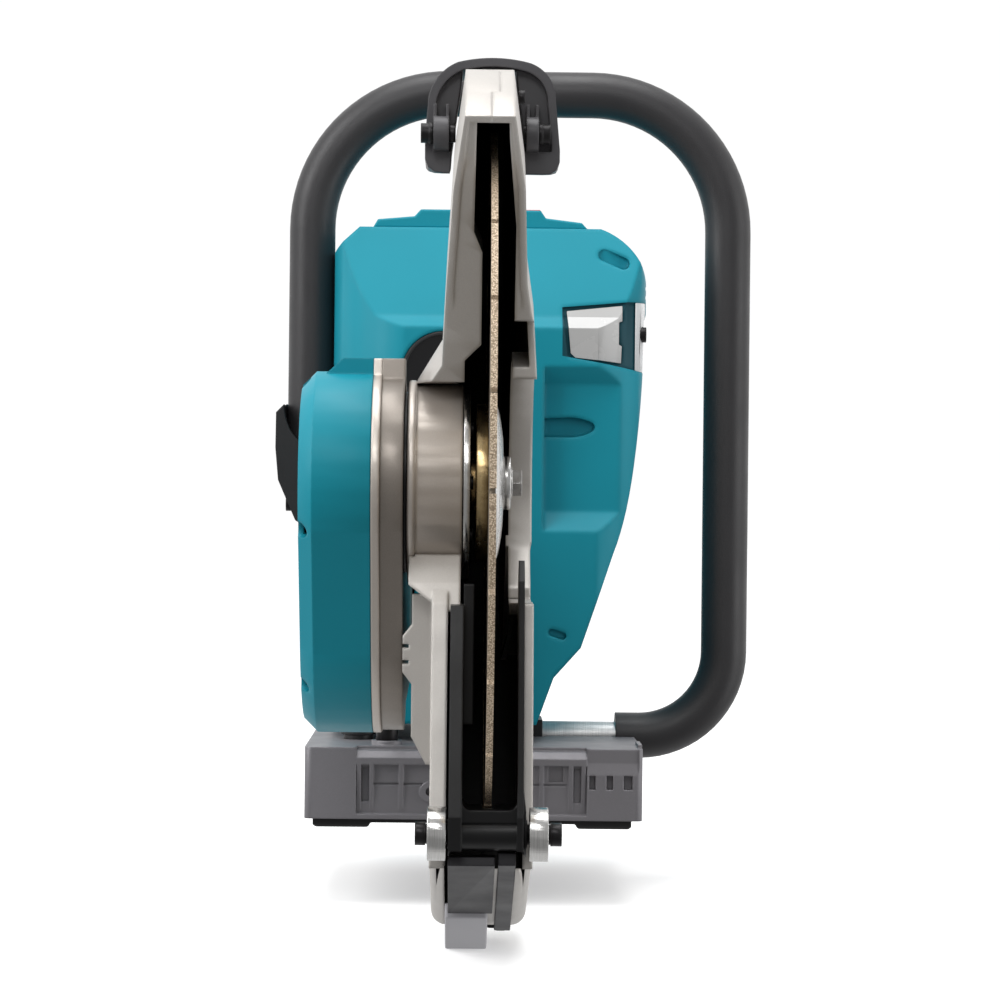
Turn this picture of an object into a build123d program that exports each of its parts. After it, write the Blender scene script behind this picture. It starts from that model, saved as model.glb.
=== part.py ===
"""Battery power cutter: a 355 mm wheel in a turning guard, two battery packs and two handles.

Everything is drawn in the spindle frame, in millimetres: the origin is the wheel's centre, +X is
to the right seen from the front, +Y runs back to the rear handle and +Z is up. TO_ROW then moves
each piece to the row frame, whose origin is the bottom centre of the whole machine's box.
"""
from build123d import *
import math
import os

# ---------------------------------------------------------------- driving dimensions
WHEEL_R = 177.5          # 355 mm wheel
CORE_T, SEGMENT_T = 2.4, 3.2
SEGMENTS, SEGMENT_DEPTH, SEGMENT_GAP = 24, 8.0, 2.6
SEGMENT_PHASE = 1.5      # degrees, turn of the wheel at rest
ARBOR_R = 10.0
FLANGE_R = 40.0

MODULE = 2.0             # gears
GEAR_TEETH, PINION_TEETH = 48, 26
MOTOR_ANGLE = -43.1      # direction from the spindle to the motor, in the YZ plane
CENTRES = MODULE * (GEAR_TEETH + PINION_TEETH) / 2
MOTOR = (CENTRES * math.cos(math.radians(MOTOR_ANGLE)),
         CENTRES * math.sin(math.radians(MOTOR_ANGLE)))

CASE_R, MOTOR_CASE_R = 56.0, 81.0
POD_X0, POD_X1 = -95.5, -59.5      # motor cover
PLATE_X1 = -55.0                   # motor plate, then the gear case up to CASE_X1
CASE_X1 = -43.5
BOSS_R, BOSS_X1 = 40.0, -13.5      # the guard turns on this boss
GEAR_X0, GEAR_X1 = -53.3, -46.0
BEARING_R = 21.0
RUN = 0.1                          # running clearance of the guard's hub

GUARD_R, WALL = 209.0, 3.5
GUARD_START, GUARD_JOIN = -36.0, 120.0     # degrees from +Z towards the rear
LOWER_X0, LOWER_X1 = -28.5, 21.8   # outer faces of the guard's lower half
PARTING_X = -1.5                   # where the guard's two halves meet
HUB_R = 50.0
ROLLER = (-95.0, -169.0)           # (Y, Z) of the rollers' axis
ROLLER_R, ROLLER_W = 13.0, 8.0

GRIP_R, TUBE_R, TUBE_WALL = 14.0, 8.25, 2.0
HANDLE_Y = 330.0
HANDLE_LEFT, HANDLE_RIGHT = -108.0, 147.5
HANDLE_TOP, HANDLE_LOW = 241.0, -152.5
CORNER_TOP, CORNER_LOW = 84.0, 52.0
BRACKET_X = -128.5                 # outermost face of the upper handle bracket

BODY_FRONT, BODY_REAR = 262.0, 480.0
BODY_TOP, BODY_LOW = 156.0, -142.0
SHELL = 3.0
BASE_X0, BASE_X1 = -104.0, 92.0
BASE_Y0, BASE_Y1 = 215.0, 440.0
BASE_Z0, BASE_Z1 = -194.0, -152.5
FOOT_LOW = -199.5
REAR_X = 17.0                      # half width of the rear handle
REAR_END = 605.0
CHUTE_LOW = -244.0                 # the guard's lowest point

TO_ROW = Location((
    -(BRACKET_X + HANDLE_RIGHT + GRIP_R) / 2,
    -(REAR_END - WHEEL_R) / 2,
    -CHUTE_LOW,
))


# ---------------------------------------------------------------- helpers
def side(x):
    """Plane across X at x; its sketch coordinates are (Y, Z)."""
    return Plane.YZ.offset(x)


def front(y):
    """Plane across Y at y; its sketch coordinates are (X, Z) and it extrudes forwards, to -Y."""
    return Plane.XZ.offset(-y)


def radial(degrees):
    """Plane through the X axis whose sketch y points away from it, `degrees` from +Z to the rear."""
    a = math.radians(degrees)
    return Plane(origin=(0, 0, 0), x_dir=(1, 0, 0), z_dir=(0, -math.cos(a), math.sin(a)))


def polar(radius, degrees, centre=(0, 0)):
    """(Y, Z) of a point at this radius, with the angle measured from +Z towards the rear."""
    a = math.radians(degrees)
    return (centre[0] + radius * math.sin(a), centre[1] + radius * math.cos(a))


def save(builder, name):
    builder.part.label = name
    export_step(builder.part.moved(TO_ROW), f"parts/{name}.step")


def disc(x0, x1, radius, centre=(0, 0), mode=Mode.ADD):
    """Round solid along X inside the running part."""
    with BuildSketch(side(x0)) as profile:
        with Locations(centre):
            Circle(radius)
    extrude(profile.sketch, amount=x1 - x0, mode=mode)


def post(z0, z1, radius, x, y, mode=Mode.ADD):
    """Round solid along Z inside the running part."""
    with BuildSketch(Plane.XY.offset(z0)) as profile:
        with Locations((x, y)):
            Circle(radius)
    extrude(profile.sketch, amount=z1 - z0, mode=mode)


def block(x0, x1, y0, y1, z0, z1, mode=Mode.ADD):
    """Box between two corners inside the running part."""
    with Locations(((x0 + x1) / 2, (y0 + y1) / 2, (z0 + z1) / 2)):
        Box(x1 - x0, y1 - y0, z1 - z0, mode=mode)


def prism(plane, points, amount, mode=Mode.ADD):
    """Polygon on a plane, extruded, inside the running part."""
    with BuildSketch(plane) as profile:
        with BuildLine():
            Polyline(*points, close=True)
        make_face()
    extrude(profile.sketch, amount=amount, mode=mode)


def hexagon(x0, x1, across_flats, centre=(0, 0), mode=Mode.ADD):
    with BuildSketch(side(x0)) as profile:
        with Locations(centre):
            RegularPolygon(across_flats / 2, 6, major_radius=False)
    extrude(profile.sketch, amount=x1 - x0, mode=mode)


def cap_screw(x_out, x_in, head_r, centre, shank_r, shank_x):
    """Socket screw along X: its head runs from x_out to x_in and its shank on to shank_x."""
    step = 1 if x_in > x_out else -1
    disc(min(x_out, x_in), max(x_out, x_in), head_r, centre)
    socket = x_out + step * min(abs(x_in - x_out) * 0.6, 2.5)
    hexagon(min(x_out, socket), max(x_out, socket), head_r, centre, mode=Mode.SUBTRACT)
    disc(min(x_in, shank_x), max(x_in, shank_x), shank_r, centre)


def ball_bearing(x0, x1, bore_r, outer_r, centre=(0, 0), balls=9):
    """Deep-groove bearing: two rings with a ball groove between them and separate balls."""
    mid = (bore_r + outer_r) / 2
    ball_r = (outer_r - bore_r) * 0.28
    ring = (outer_r - bore_r) * 0.32
    x_mid = (x0 + x1) / 2
    disc(x0, x1, outer_r, centre)
    disc(x0, x1, outer_r - ring, centre, mode=Mode.SUBTRACT)
    disc(x0, x1, bore_r + ring, centre)
    disc(x0, x1, bore_r, centre, mode=Mode.SUBTRACT)
    with Locations(Location((x_mid, centre[0], centre[1]), (0, 90, 0))):
        Torus(mid, ball_r + 0.05, mode=Mode.SUBTRACT)
    for i in range(balls):
        y, z = polar(mid, 360 * i / balls, centre)
        with Locations((x_mid, y, z)):
            Sphere(ball_r)


def gear_outline(teeth, phase, backlash=0.2):
    """Closed outline of a 20 degree involute gear; one tooth points along angle `phase`."""
    pitch_r = MODULE * teeth / 2
    base_r = pitch_r * math.cos(math.radians(20))
    tip_r, root_r = pitch_r + 0.92 * MODULE, pitch_r - 1.2 * MODULE
    start_r = max(base_r, root_r + 0.05)

    def spread(r):
        t = math.sqrt(max((r / base_r) ** 2 - 1, 0.0))
        return t - math.atan(t)

    half = (math.pi * MODULE / 2 - backlash) / 2 / pitch_r + spread(pitch_r)
    radii = [start_r + (tip_r - start_r) * k / 4 for k in range(5)]
    flank = [(root_r, half - spread(start_r))] + [(r, half - spread(r)) for r in radii]
    tooth = [(r, -a) for r, a in flank] + list(reversed(flank))
    points = []
    for i in range(teeth):
        middle = math.radians(phase) + 2 * math.pi * i / teeth
        points += [(r * math.cos(middle + a), r * math.sin(middle + a)) for r, a in tooth]
    return points


# ---------------------------------------------------------------- wheel and spindle
def wheel():
    edge_r = WHEEL_R - SEGMENT_DEPTH
    slot_depth, relief_r = 12.0, 3.0
    with BuildPart() as core:
        disc(-CORE_T / 2, CORE_T / 2, edge_r)
        disc(-CORE_T / 2, CORE_T / 2, ARBOR_R, mode=Mode.SUBTRACT)
        with BuildSketch(side(-CORE_T / 2)):
            with PolarLocations(edge_r - slot_depth / 2, SEGMENTS, start_angle=SEGMENT_PHASE):
                Rectangle(slot_depth, SEGMENT_GAP)
            with PolarLocations(edge_r - slot_depth, SEGMENTS, start_angle=SEGMENT_PHASE):
                Circle(relief_r)
        extrude(amount=CORE_T, mode=Mode.SUBTRACT)
    save(core, "wheel_core")

    with BuildPart() as segments:
        with BuildSketch(side(-SEGMENT_T / 2)):
            Circle(WHEEL_R)
            Circle(edge_r, mode=Mode.SUBTRACT)
            with PolarLocations(edge_r + SEGMENT_DEPTH / 2, SEGMENTS, start_angle=SEGMENT_PHASE):
                Rectangle(3 * SEGMENT_DEPTH, SEGMENT_GAP, mode=Mode.SUBTRACT)
        extrude(amount=SEGMENT_T)
    save(segments, "wheel_segments")


def flanges_and_bolt():
    face = CORE_T / 2
    relief = face + 0.7
    with BuildPart() as inner:
        disc(-7.2, -face, FLANGE_R)
        disc(-10.1, -7.2, 16.0)
        disc(-relief, -face, FLANGE_R - 9, mode=Mode.SUBTRACT)
        disc(-relief, -face, 16.0)
        disc(-10.1, -face, ARBOR_R, mode=Mode.SUBTRACT)
    save(inner, "inner_flange")

    with BuildPart() as outer:
        with BuildSketch(Plane.XY):
            with BuildLine():
                Polyline((face, ARBOR_R), (6.6, ARBOR_R), (6.6, 17))
                Spline((6.6, 17), (5.4, 30), (3.0, FLANGE_R), tangents=((0, 1), (-0.4, 1)))
                Polyline((3.0, FLANGE_R), (face, FLANGE_R), (face, FLANGE_R - 9),
                         (relief, FLANGE_R - 9), (relief, 16), (face, 16), (face, ARBOR_R))
            make_face()
        revolve(axis=Axis.X)
    save(outer, "outer_flange")

    with BuildPart() as washer:
        disc(6.6, 10.4, 13.6)
        disc(6.6, 10.4, 4.0, mode=Mode.SUBTRACT)
    save(washer, "wheel_washer")

    with BuildPart() as bolt:
        disc(10.4, 11.2, 8.6)
        hexagon(11.2, 16.2, 13.0)
        disc(-16.0, 10.4, 4.0)
    save(bolt, "wheel_bolt")


def spindle_and_gear():
    shoulder_r = 12.5
    with BuildPart() as spindle:
        disc(GEAR_X0, 5.6, ARBOR_R)
        disc(GEAR_X1, -41.1, shoulder_r)
        disc(-14.9, -10.1, shoulder_r)
        disc(-16.0, 5.6, 4.0, mode=Mode.SUBTRACT)
    save(spindle, "spindle")

    width = GEAR_X1 - GEAR_X0
    with BuildPart() as gear:
        prism(side(GEAR_X0), gear_outline(GEAR_TEETH, MOTOR_ANGLE), width)
        with BuildSketch(side(GEAR_X0)):
            with PolarLocations(27, 6):
                Circle(7)
        extrude(amount=width, mode=Mode.SUBTRACT)
        disc(GEAR_X0, GEAR_X1, ARBOR_R, mode=Mode.SUBTRACT)
    save(gear, "driven_gear")

    with BuildPart() as bearings:
        ball_bearing(-41.0, -29.0, ARBOR_R + 0.05, BEARING_R)
        ball_bearing(-27.0, -15.0, ARBOR_R + 0.05, BEARING_R)
        ball_bearing(-82.0, -74.0, SHAFT_R + 0.05, MOTOR_BEARING_R, MOTOR, balls=8)
        ball_bearing(-68.0, -60.0, SHAFT_R + 0.05, MOTOR_BEARING_R, MOTOR, balls=8)
    save(bearings, "ball_bearings")


# ---------------------------------------------------------------- motor
SHAFT_R = 5.0
BELL_X0, BELL_X1, BELL_R, BELL_WALL = -89.5, -64.0, 60.0, 3.0
STATOR_X0, STATOR_X1, STATOR_R, STATOR_TEETH = -83.0, -67.0, 53.2, 18
CARRIER_R, MOTOR_BEARING_R = 22.0, 11.0


def rotor():
    with BuildPart() as shaft:
        disc(BELL_X0, -46.5, SHAFT_R, MOTOR)
    save(shaft, "motor_shaft")

    phase = MOTOR_ANGLE + 180 + 180 / PINION_TEETH
    outline = [(y + MOTOR[0], z + MOTOR[1]) for y, z in gear_outline(PINION_TEETH, phase)]
    with BuildPart() as pinion:
        prism(side(GEAR_X0), outline, 6.3)
        disc(GEAR_X0, GEAR_X1, SHAFT_R, MOTOR, mode=Mode.SUBTRACT)
    save(pinion, "pinion_gear")

    inner_face = BELL_X0 + BELL_WALL
    with BuildPart() as bell:
        disc(BELL_X0, BELL_X1, BELL_R, MOTOR)
        disc(inner_face, BELL_X1, BELL_R - BELL_WALL, MOTOR, mode=Mode.SUBTRACT)
        disc(inner_face, inner_face + 2.5, MOTOR_BEARING_R, MOTOR)
        disc(BELL_X0, inner_face + 2.5, SHAFT_R, MOTOR, mode=Mode.SUBTRACT)
        with BuildSketch(side(BELL_X0)):
            with Locations(MOTOR):
                with PolarLocations(36, 8):
                    SlotOverall(26, 13)
        extrude(amount=BELL_WALL, mode=Mode.SUBTRACT)
    save(bell, "rotor_bell")

    with BuildPart() as magnets:
        with BuildSketch(side(inner_face + 2)):
            with Locations(MOTOR):
                Circle(BELL_R - BELL_WALL)
                Circle(54.0, mode=Mode.SUBTRACT)
                with PolarLocations(55.5, 20):
                    Rectangle(8, 2.0, mode=Mode.SUBTRACT)
        extrude(amount=18.5)
    save(magnets, "rotor_magnets")


def stator():
    length = STATOR_X1 - STATOR_X0
    tooth_w, coil_w, slot_r = 4.6, 9.0, 50.6
    with BuildPart() as core:
        with BuildSketch(side(STATOR_X0)):
            with Locations(MOTOR):
                Circle(STATOR_R)
                Circle(slot_r, mode=Mode.SUBTRACT)
                with PolarLocations(STATOR_R - 1, STATOR_TEETH, start_angle=180 / STATOR_TEETH):
                    Rectangle(8, 3.0, mode=Mode.SUBTRACT)
                with PolarLocations(40, STATOR_TEETH):
                    Rectangle(24, tooth_w)
                Circle(30.0)
                Circle(CARRIER_R, mode=Mode.SUBTRACT)
        extrude(amount=length)
    save(core, "stator_core")

    with BuildPart() as coils:
        with BuildSketch(side(STATOR_X0 - 1.8)):
            with Locations(MOTOR):
                with PolarLocations(41.5, STATOR_TEETH):
                    Rectangle(15, coil_w)
        extrude(amount=length + 3.6)
        with BuildSketch(side(STATOR_X0)):
            with Locations(MOTOR):
                with PolarLocations(41.5, STATOR_TEETH):
                    Rectangle(20, tooth_w)
        extrude(amount=length, mode=Mode.SUBTRACT)
    save(coils, "stator_windings")

    with BuildPart() as carrier:
        disc(STATOR_X0, -61.5, CARRIER_R, MOTOR)
        disc(-61.5, POD_X1, 36.0, MOTOR)
        disc(STATOR_X0, POD_X1, MOTOR_BEARING_R, MOTOR, mode=Mode.SUBTRACT)
    save(carrier, "stator_carrier")


# ---------------------------------------------------------------- gear case and motor cover
CASE_BOSS = [(-16, 46), (-13, 62.4), (12, 62.4), (15, 46)]     # lug on top of the case
COVER_SCREWS = [(-43, -24), (-10, 48), (52, 32), (106, 2), (127, -64), (67, -123), (2, -103)]


def case_solid(x0, x1, inset=0.0, mode=Mode.ADD):
    """Hull round the gear and the motor, inside the running part."""
    with BuildSketch(side(x0)) as outline:
        Circle(CASE_R - inset)
        with Locations(MOTOR):
            Circle(MOTOR_CASE_R - inset)
        make_hull()
    extrude(outline.sketch, amount=x1 - x0, mode=mode)


def gear_case():
    with BuildPart() as case:
        case_solid(PLATE_X1, CASE_X1, inset=1.5)
        prism(side(PLATE_X1), CASE_BOSS, CASE_X1 - PLATE_X1)
        prism(side(PLATE_X1), [(60, 20), (330, -30), (330, -110), (90, -118)], CASE_X1 - PLATE_X1)
        with BuildSketch(side(PLATE_X1)):
            Circle(52)
            with Locations(MOTOR):
                Circle(30.0)
            make_hull()
        extrude(amount=-PLATE_X1 - 45.5, mode=Mode.SUBTRACT)
        for y0, y1 in ((150, 210), (216, 276)):
            prism(side(PLATE_X1), [(y0, -16), (y1, -28), (y1, -104), (y0, -106)], 7.5,
                  mode=Mode.SUBTRACT)
        disc(CASE_X1, BOSS_X1, BOSS_R)
        disc(-41.0, BOSS_X1, BEARING_R, mode=Mode.SUBTRACT)
        disc(-46.0, -41.0, 14.0, mode=Mode.SUBTRACT)
        with BuildSketch(side(BOSS_X1)):
            with PolarLocations(31, 6):
                Circle(2.0)
        extrude(amount=-10, mode=Mode.SUBTRACT)
    save(case, "gear_case")

    with BuildPart() as plate:
        case_solid(POD_X1, PLATE_X1)
        prism(side(POD_X1), CASE_BOSS, PLATE_X1 - POD_X1)
        disc(POD_X1, PLATE_X1, 6.5, MOTOR, mode=Mode.SUBTRACT)
        for centre in COVER_SCREWS:
            disc(POD_X1, PLATE_X1, 2.0, centre, mode=Mode.SUBTRACT)
    save(plate, "motor_plate")

    with BuildPart() as ring:
        disc(CASE_X1, -41.8, 46.0)
        disc(CASE_X1, -41.8, BOSS_R, mode=Mode.SUBTRACT)
    save(ring, "guard_friction_ring")

    with BuildPart() as retainer:
        disc(BOSS_X1, -10.3, HUB_R - 0.5)
        disc(BOSS_X1, -10.3, 18.0, mode=Mode.SUBTRACT)
        with BuildSketch(side(BOSS_X1)):
            with PolarLocations(31, 6):
                Circle(2.0)
        extrude(amount=3.2, mode=Mode.SUBTRACT)
    save(retainer, "hub_retainer")


def motor_cover():
    bore_depth = 9.0
    slope = [(-88.5, 50), (-75, 62.4), (POD_X1, 62.4), (POD_X1, 50)]
    with BuildPart() as cover:
        case_solid(POD_X0, POD_X1)
        chamfer(cover.faces().sort_by(Axis.X)[0].edges(), 7.0)
        prism(front(12), slope, 25)
        case_solid(POD_X0 + 8, POD_X1, inset=SHELL, mode=Mode.SUBTRACT)
        case_solid(POD_X0 + SHELL, POD_X0 + 8, inset=SHELL + 6, mode=Mode.SUBTRACT)
        for centre in COVER_SCREWS:
            disc(POD_X0 + bore_depth, POD_X1, 5.0, centre)
        for centre in COVER_SCREWS:
            disc(POD_X0, POD_X1, 2.1, centre, mode=Mode.SUBTRACT)
            disc(POD_X0, POD_X0 + bore_depth, 4.4, centre, mode=Mode.SUBTRACT)
        with BuildSketch(side(POD_X0)):
            with Locations(MOTOR):
                with PolarLocations(42, 14):
                    SlotOverall(26, 5)
        extrude(amount=SHELL, mode=Mode.SUBTRACT)
    save(cover, "motor_cover")


# ---------------------------------------------------------------- guard
UPPER_LEFT = [(-14.5, GUARD_R), (-19.7, 170), (-22.7, 119), (-24.8, 73), (-37.5, 52),
              (-37.5, HUB_R), (-16.0, HUB_R), (-20.0, 66), (-19.2, 119), (-16.2, 170),
              (-12.5, GUARD_R - WALL), (PARTING_X, GUARD_R - WALL), (PARTING_X, GUARD_R)]
UPPER_RIGHT = [(9.6, GUARD_R), (15, 170), (16.8, 119), (20.6, 93), (22.6, 62), (19.1, 62),
               (17.1, 93), (13.3, 119), (11.5, 170), (7.6, GUARD_R - WALL),
               (PARTING_X, GUARD_R - WALL), (PARTING_X, GUARD_R)]

LIP_LEFT = [(-14.5, GUARD_R), (-19.7, 170), (-22.7, 119), (-24.8, 73), (-37.5, 52), (-13.6, 52),
            (-13.6, 76), (-5.5, 85), (-5.5, 136), (-9.7, 147), (-8.8, GUARD_R)]
LIP_RIGHT = [(9.6, GUARD_R), (15, 170), (16.8, 119), (20.6, 93), (22.6, 62), (10.8, 62), (10.8, 150),
             (7.0, 195), (6.4, GUARD_R)]
UPPER_EDGE = [(-117, 172), (-34, 40)]                  # (Y, Z) along the open front of the guard
LOWER_EDGE = [(-43, -48), (-52, -60), (-78, -160), (-84, -187)]
CHUTE_FILLET = 8.0
CHUTE_GROOVE = [(-86, -188), (64, -236), (64, -231), (-86, -184)]
RIDGE_X = -43.1                    # finger ridges beside the lower wall
OPENING_R = 62.0                   # opening round the wheel bolt in the right half, with a thick lip
OPENING_LIP, OPENING_LIP_W = (10.4, 21.8), 5.0


def lower_outline(inset=0.0):
    """Side outline of the guard below the hub; inset draws its rim inwards, past its open edges."""
    crown = polar(GUARD_R - inset, GUARD_JOIN - 4 - 3 * inset)
    return [crown, (92 - inset, -234 + inset), (64, -234 + inset), (-84 - 3 * inset, -187 + inset),
            (-78 - 3 * inset, -160), (-52 - 4 * inset, -60), (0, -20 + 3 * inset)]


def hub_gusset():
    """Casting that narrows from the hub down to the left wall."""
    with BuildPart() as gusset:
        prism(side(-40.3), [(-36, -36), (-46, -50), (-51, -66), (10, -66), (10, -45)], 26.3)
        prism(front(60), [(-40.3, 0), (-40.3, -51), (-22.9, -64), (-14.5, -64), (-14.5, 0)], 120,
              mode=Mode.INTERSECT)
        disc(-42, -37.4, 52.2, mode=Mode.SUBTRACT)
    return gusset.part


def guard_half(left):
    """One side wall of the guard with its share of the rim."""
    profile = UPPER_LEFT if left else UPPER_RIGHT
    web_x0, web_x1 = (LOWER_X0, -14.0) if left else (9.0, LOWER_X1)
    # the lower half has flat walls and a rim that swells to the chute
    with BuildPart() as lower:
        prism(side(LOWER_X0), lower_outline(), LOWER_X1 - LOWER_X0)
        fillet(lower.edges().filter_by(
            lambda e: e.center().Z < -205 and min(abs(e.center().X - LOWER_X0),
                                                  abs(e.center().X - LOWER_X1)) < 0.1), CHUTE_FILLET)
        prism(side(LOWER_X0 + WALL), lower_outline(WALL), LOWER_X1 - LOWER_X0 - 2 * WALL,
              mode=Mode.SUBTRACT)
    # a thick lip stiffens the edge from the rim's front end down to the hub
    with BuildPart() as lip:
        with BuildSketch(radial(10)):
            with BuildLine():
                Polyline(*(LIP_LEFT if left else LIP_RIGHT), close=True)
            make_face()
        revolve(axis=Axis.X, revolution_arc=60)
        (y0, z0), (y1, z1) = UPPER_EDGE
        prism(side(-60), [(y0 - 8, z0 + 16), (y0 + 10, z0 + 25), (y1 + 9, z1 - 4), (y1, z1)], 120,
              mode=Mode.INTERSECT)
    with BuildPart() as half:
        with BuildSketch(radial(GUARD_JOIN)):
            with BuildLine():
                Polyline(*profile, close=True)
            make_face()
        revolve(axis=Axis.X, revolution_arc=GUARD_JOIN - GUARD_START)
        add(lip.part)
        prism(side(-60), [(-150, 205), *UPPER_EDGE, (-34, -60), (-150, -60)], 120,
              mode=Mode.SUBTRACT)
        if left:
            block(-60, PARTING_X, -60, 0, 30, HUB_R, mode=Mode.SUBTRACT)
        add(lower.part)
        if not left:
            disc(OPENING_LIP[0], OPENING_LIP[1], OPENING_R + OPENING_LIP_W)
            block(OPENING_LIP[0] - 1, OPENING_LIP[1] + 1, -80, -34, -80, 80, mode=Mode.SUBTRACT)
        lower_lip = LOWER_EDGE + [(y + 9, z + 2) for y, z in reversed(LOWER_EDGE)]
        prism(side(LOWER_X0 if left else LOWER_X1 - 4.9), lower_lip, 8.0 if left else 4.9)
        prism(side(LOWER_X0 + 7.5), CHUTE_GROOVE, 1.8, mode=Mode.SUBTRACT)
        prism(side(web_x0), [polar(60, 116), polar(206, 116), polar(206, 119), polar(60, 122)],
              web_x1 - web_x0)
        if left:
            add(hub_gusset())
            prism(front(-22), [(LOWER_X0, -56), (-38.5, -56), (-38.5, -127), (-31, -141),
                               (LOWER_X0, -141)], 12)
            prism(front(-24), [(-38.5, -71), (RIDGE_X, -77), (RIDGE_X, -95), (-38.5, -101)], 10)
            for ridge in (-91, -83):
                block(RIDGE_X, -40, -34, -24, ridge, ridge + 2, mode=Mode.SUBTRACT)
            block(PARTING_X, 60, -260, 260, -260, 260, mode=Mode.SUBTRACT)
            disc(-60, 60, HUB_R, mode=Mode.SUBTRACT)
        else:
            block(-60, PARTING_X, -260, 260, -260, 260, mode=Mode.SUBTRACT)
            disc(-60, 60, OPENING_R, mode=Mode.SUBTRACT)
            block(PARTING_X, 60, -90, 30, -60, -30, mode=Mode.SUBTRACT)
        # tabs of the two halves interlock along the rim
        for start in range(-26, 112, 28):
            with BuildSketch(radial(start + 14)) as tab:
                with Locations((PARTING_X + 2, GUARD_R - WALL / 2)):
                    Rectangle(4.0, WALL)
            revolve(tab.sketch, axis=Axis.X, revolution_arc=14,
                    mode=Mode.ADD if left else Mode.SUBTRACT)
    save(half, "guard_left_half" if left else "guard_right_half")


def guard_hub():
    with BuildPart() as hub:
        disc(-41.5, -37.5, 52.0)
        disc(-37.5, -14.0, HUB_R)
        disc(-41.5, -14.0, BOSS_R + RUN, mode=Mode.SUBTRACT)
    save(hub, "guard_hub")


LINER_LEFT, LINER_RIGHT = (-19.1, -12.7), (13.8, 16.8)
TUBE_X1 = 18.2                     # right end of the cross tube
TUBE_OUTER, FLARE_R = 7.6, 10.6


def roller_bracket():
    """Black moulding at the guard's lower front end: two cheeks, a cross tube and roller arms."""
    y, z = ROLLER
    with BuildPart() as bracket:
        prism(side(LINER_LEFT[0]), [(-80, -60), (-60, -60), (-68, -176), (-108, -176), (-108, -160)],
              LINER_LEFT[1] - LINER_LEFT[0])
        prism(side(LINER_RIGHT[0]), [(-82, -48), (-70, -38), (-60, -48), (-68, -176), (-108, -176),
                                     (-108, -160)], LINER_RIGHT[1] - LINER_RIGHT[0])
        prism(side(LINER_LEFT[1]), [(-66, -50), (-58, -50), (-58, -118), (-72, -118)], 5.0)
        # the cross tube flares at both ends, below the round-cornered foot of the opening
        disc(LINER_LEFT[0], TUBE_X1, TUBE_OUTER, (y - 2, z))
        for x, big, small in ((-17.6, FLARE_R, TUBE_OUTER), (TUBE_X1 - 1.5, TUBE_OUTER, FLARE_R)):
            with Locations(Location((x, y - 2, z), (0, 90, 0))):
                Cone(big, small, 3.0)
        with BuildSketch(front(-70)) as foot:
            with BuildLine():
                Polyline((-12.7, -146), (-12.7, -152.5))
                RadiusArc((-12.7, -152.5), (-8.2, -157), -4.5)
                Line((-8.2, -157), (9.3, -157))
                RadiusArc((9.3, -157), (13.8, -152.5), -4.5)
                Polyline((13.8, -152.5), (13.8, -146), (16.8, -146), (TUBE_X1, -158), (16, -163),
                         (-17, -163), (-19.1, -158), (-19.1, -146), (-12.7, -146))
            make_face()
        extrude(foot.sketch, amount=33)
        block(LINER_LEFT[0], TUBE_X1, -94, -70, -176, -160)
        block(LINER_RIGHT[1], 30, -86, -60, -200, -140, mode=Mode.SUBTRACT)
        disc(LINER_LEFT[0], TUBE_X1, 2.6, ROLLER, mode=Mode.SUBTRACT)
        disc(-3, 3, WHEEL_R + 3.5, mode=Mode.SUBTRACT)
    save(bracket, "roller_bracket")

    for name, x0, x1 in (("left", -29.2, -20.2), ("right", 19.8, 28.8)):
        with BuildPart() as roller:
            ball_bearing(x0, x1, 5.0, ROLLER_R, ROLLER, balls=7)
        save(roller, f"roller_{name}")


def guard_trim():
    """Dark covers and pale end piece of the chute below the guard."""
    with BuildPart() as covers:
        prism(side(-19.2), [(-97, -180), (-87, -180), (-84.6, -187.2), (-2, -213.6), (-2, -219.5),
                            (-98, -184)], 22.6)
        prism(side(5.0), [(-95, -178), (-87, -178), (-84.6, -187.4), (56, -232), (56, -236),
                          (-96, -184)], 8.5)
    save(covers, "chute_covers")

    with BuildPart() as end:
        prism(side(-20.8), [(-1, -214), (64, -234.6), (92, -234), (88, -243.9), (44, CHUTE_LOW),
                            (-1, -222)], 21.8)
        prism(side(-16.8), [(50, -238), (95, -238), (95, -241), (50, -241)], 13.8,
              mode=Mode.SUBTRACT)
    save(end, "chute_end")


def guard_fasteners():
    """Screws and bolts that turn with the guard, and the rollers' axle."""
    left_x0, right_x1 = -30.1, 30.0
    with BuildPart() as screws:
        for x0, x1 in ((left_x0, -17.0), (15.0, right_x1)):
            disc(x0, x1, 4.9, ROLLER)
        disc(-19.6, LINER_LEFT[0], 7.0, ROLLER)
        disc(TUBE_X1, 18.8, 7.0, ROLLER)
        disc(LINER_LEFT[0], TUBE_X1, 7.6, ROLLER, mode=Mode.SUBTRACT)
        disc(LINER_LEFT[0], TUBE_X1, 2.6, ROLLER)
        cap_screw(left_x0 - 5, left_x0, 5.6, ROLLER, 4.9, -20.0)
        cap_screw(right_x1 + 5.4, right_x1, 5.6, ROLLER, 4.9, 20.0)
        # lever bolts, their washers and the spacers between the lugs and the guard
        for head, washer, lug, wall in ((-36.9, -32.6, LUG_LEFT, -19.3), (28.6, 24.6, LUG_RIGHT, 14.9)):
            lug_out, lug_in = lug if wall < 0 else reversed(lug)
            cap_screw(head, washer, 5.0, LEVER_BOLT, 3.0, wall)
            disc(min(washer, lug_out), max(washer, lug_out), 5.5, LEVER_BOLT)
            disc(min(lug_in, wall), max(lug_in, wall), 4.6, LEVER_BOLT)
        for x, y, z in ((8.4, 66, -234.0), (4.8, 76, -234.0)):
            post(z - 3.0, z, 3.4, x, y)
        for angle in (-12, 60, 100):
            disc(12.0, 15.0, 3.4, polar(196, angle))
    save(screws, "guard_fasteners")


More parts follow.
